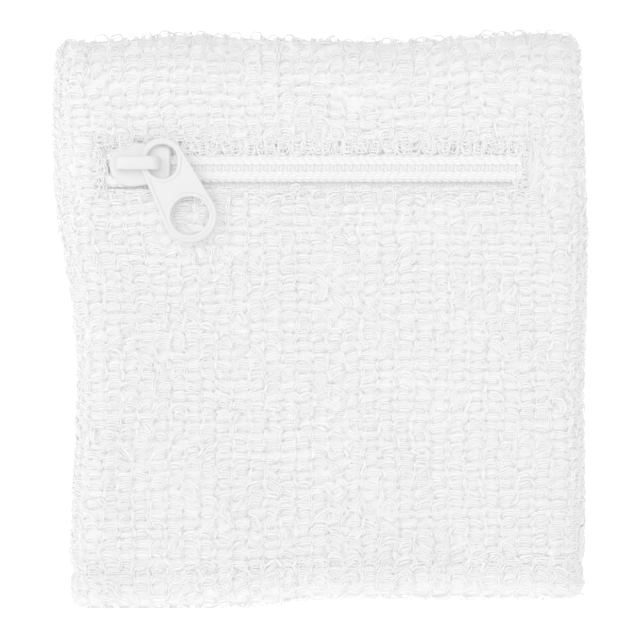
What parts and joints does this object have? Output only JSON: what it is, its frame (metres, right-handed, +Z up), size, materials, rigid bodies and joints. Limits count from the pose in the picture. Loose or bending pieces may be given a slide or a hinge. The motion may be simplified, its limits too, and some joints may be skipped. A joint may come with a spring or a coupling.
{
  "type": "sweat wristband with zip pocket",
  "caption": "Doubled terry sweat wristband, worn over the hand, with a small pocket between its layers closed by a coil zip with a ring pull.",
  "frame": {"origin": "middle of the wrist opening, at the level of the hem's lowest point", "axes": "+Z up along the tube from the hem to the top fold; the front with the zip faces -Y; +X to the right of the front, along the zip towards its open end"},
  "size_m": [0.08, 0.0199, 0.087],
  "materials": {
    "terry": "looped cotton terry, matt",
    "sewing_thread": "polyester thread, soft sheen",
    "zip_tape": "ribbed woven tape, matt",
    "zip_coil": "nylon monofilament, satin",
    "slider_paint": "satin white paint"
  },
  "bodies": {
    "band": {"outer_sleeve": "terry", "inner_sleeve": "terry", "hem_seam": "sewing_thread", "zipper_tape_upper": "zip_tape", "zipper_tape_lower": "zip_tape", "coil_upper": "zip_coil", "coil_lower": "zip_coil", "coil_cord_upper": "zip_tape", "coil_cord_lower": "zip_tape", "coil_stitch_upper": "sewing_thread", "coil_stitch_lower": "sewing_thread", "tape_stitch_upper": "sewing_thread", "tape_stitch_lower": "sewing_thread", "bar_tack_left": "sewing_thread", "bar_tack_right": "sewing_thread"},
    "slider": {"slider_body": "slider_paint"},
    "pull": {"pull_tab": "slider_paint"}
  },
  "joints": [
    {"name": "slider_slide", "type": "slide", "parent": "band", "child": "slider", "axis": [1, 0, 0], "range_m": [0, 0.053], "deforming": ["coil_upper", "coil_lower"]},
    {"name": "pull_lift", "type": "hinge", "parent": "slider", "child": "pull", "pos_m": [-0.0267, -0.0097, 0.0675], "axis": [0, 0, -1], "range_deg": [0, 115]}
  ]
}
